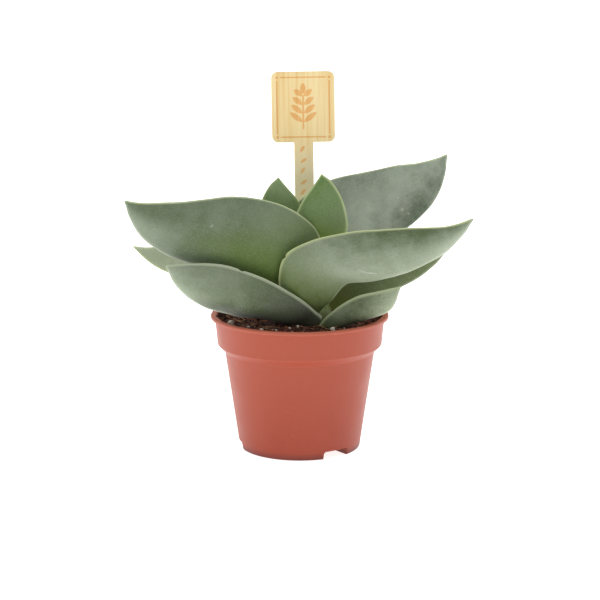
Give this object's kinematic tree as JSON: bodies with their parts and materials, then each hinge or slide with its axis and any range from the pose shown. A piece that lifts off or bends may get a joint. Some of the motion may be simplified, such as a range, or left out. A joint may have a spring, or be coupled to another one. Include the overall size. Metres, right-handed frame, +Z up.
{
  "type": "potted boomerang crassula",
  "caption": "Boomerang crassula: pairs of thick sickle-shaped grey-green leaves up one short stem, in a small terracotta-coloured nursery pot with a plain wooden plant label behind it.",
  "frame": {"origin": "centre of the pot's underside", "axes": "+Z up; +X to the right along the leaves as seen from the front; +Y to the back, where the label stands"},
  "size_m": [0.1043, 0.055, 0.1149],
  "materials": {
    "pot_plastic": "moulded polypropylene, terracotta colour, satin",
    "soil": "moist peat with fibres and white perlite",
    "stem": "fleshy green stem",
    "old_leaf": "fleshy leaf with a matt grey waxy bloom, pale margin",
    "young_leaf": "fleshy fresh green leaf, little bloom, pale margin",
    "label_wood": "bare pale wood with a light burnt ornament"
  },
  "bodies": {
    "root": {"pot": "pot_plastic", "soil": "soil", "stem": "stem", "leaf_lowest_front": "old_leaf", "leaf_lowest_back": "old_leaf", "leaf_second_front": "old_leaf", "leaf_second_back": "old_leaf", "leaf_third_front": "old_leaf", "leaf_third_back": "old_leaf", "leaf_fourth_front": "old_leaf", "leaf_fourth_back": "old_leaf", "leaf_youngest_front": "young_leaf", "leaf_youngest_back": "young_leaf", "label": "label_wood"}
  },
  "joints": []
}
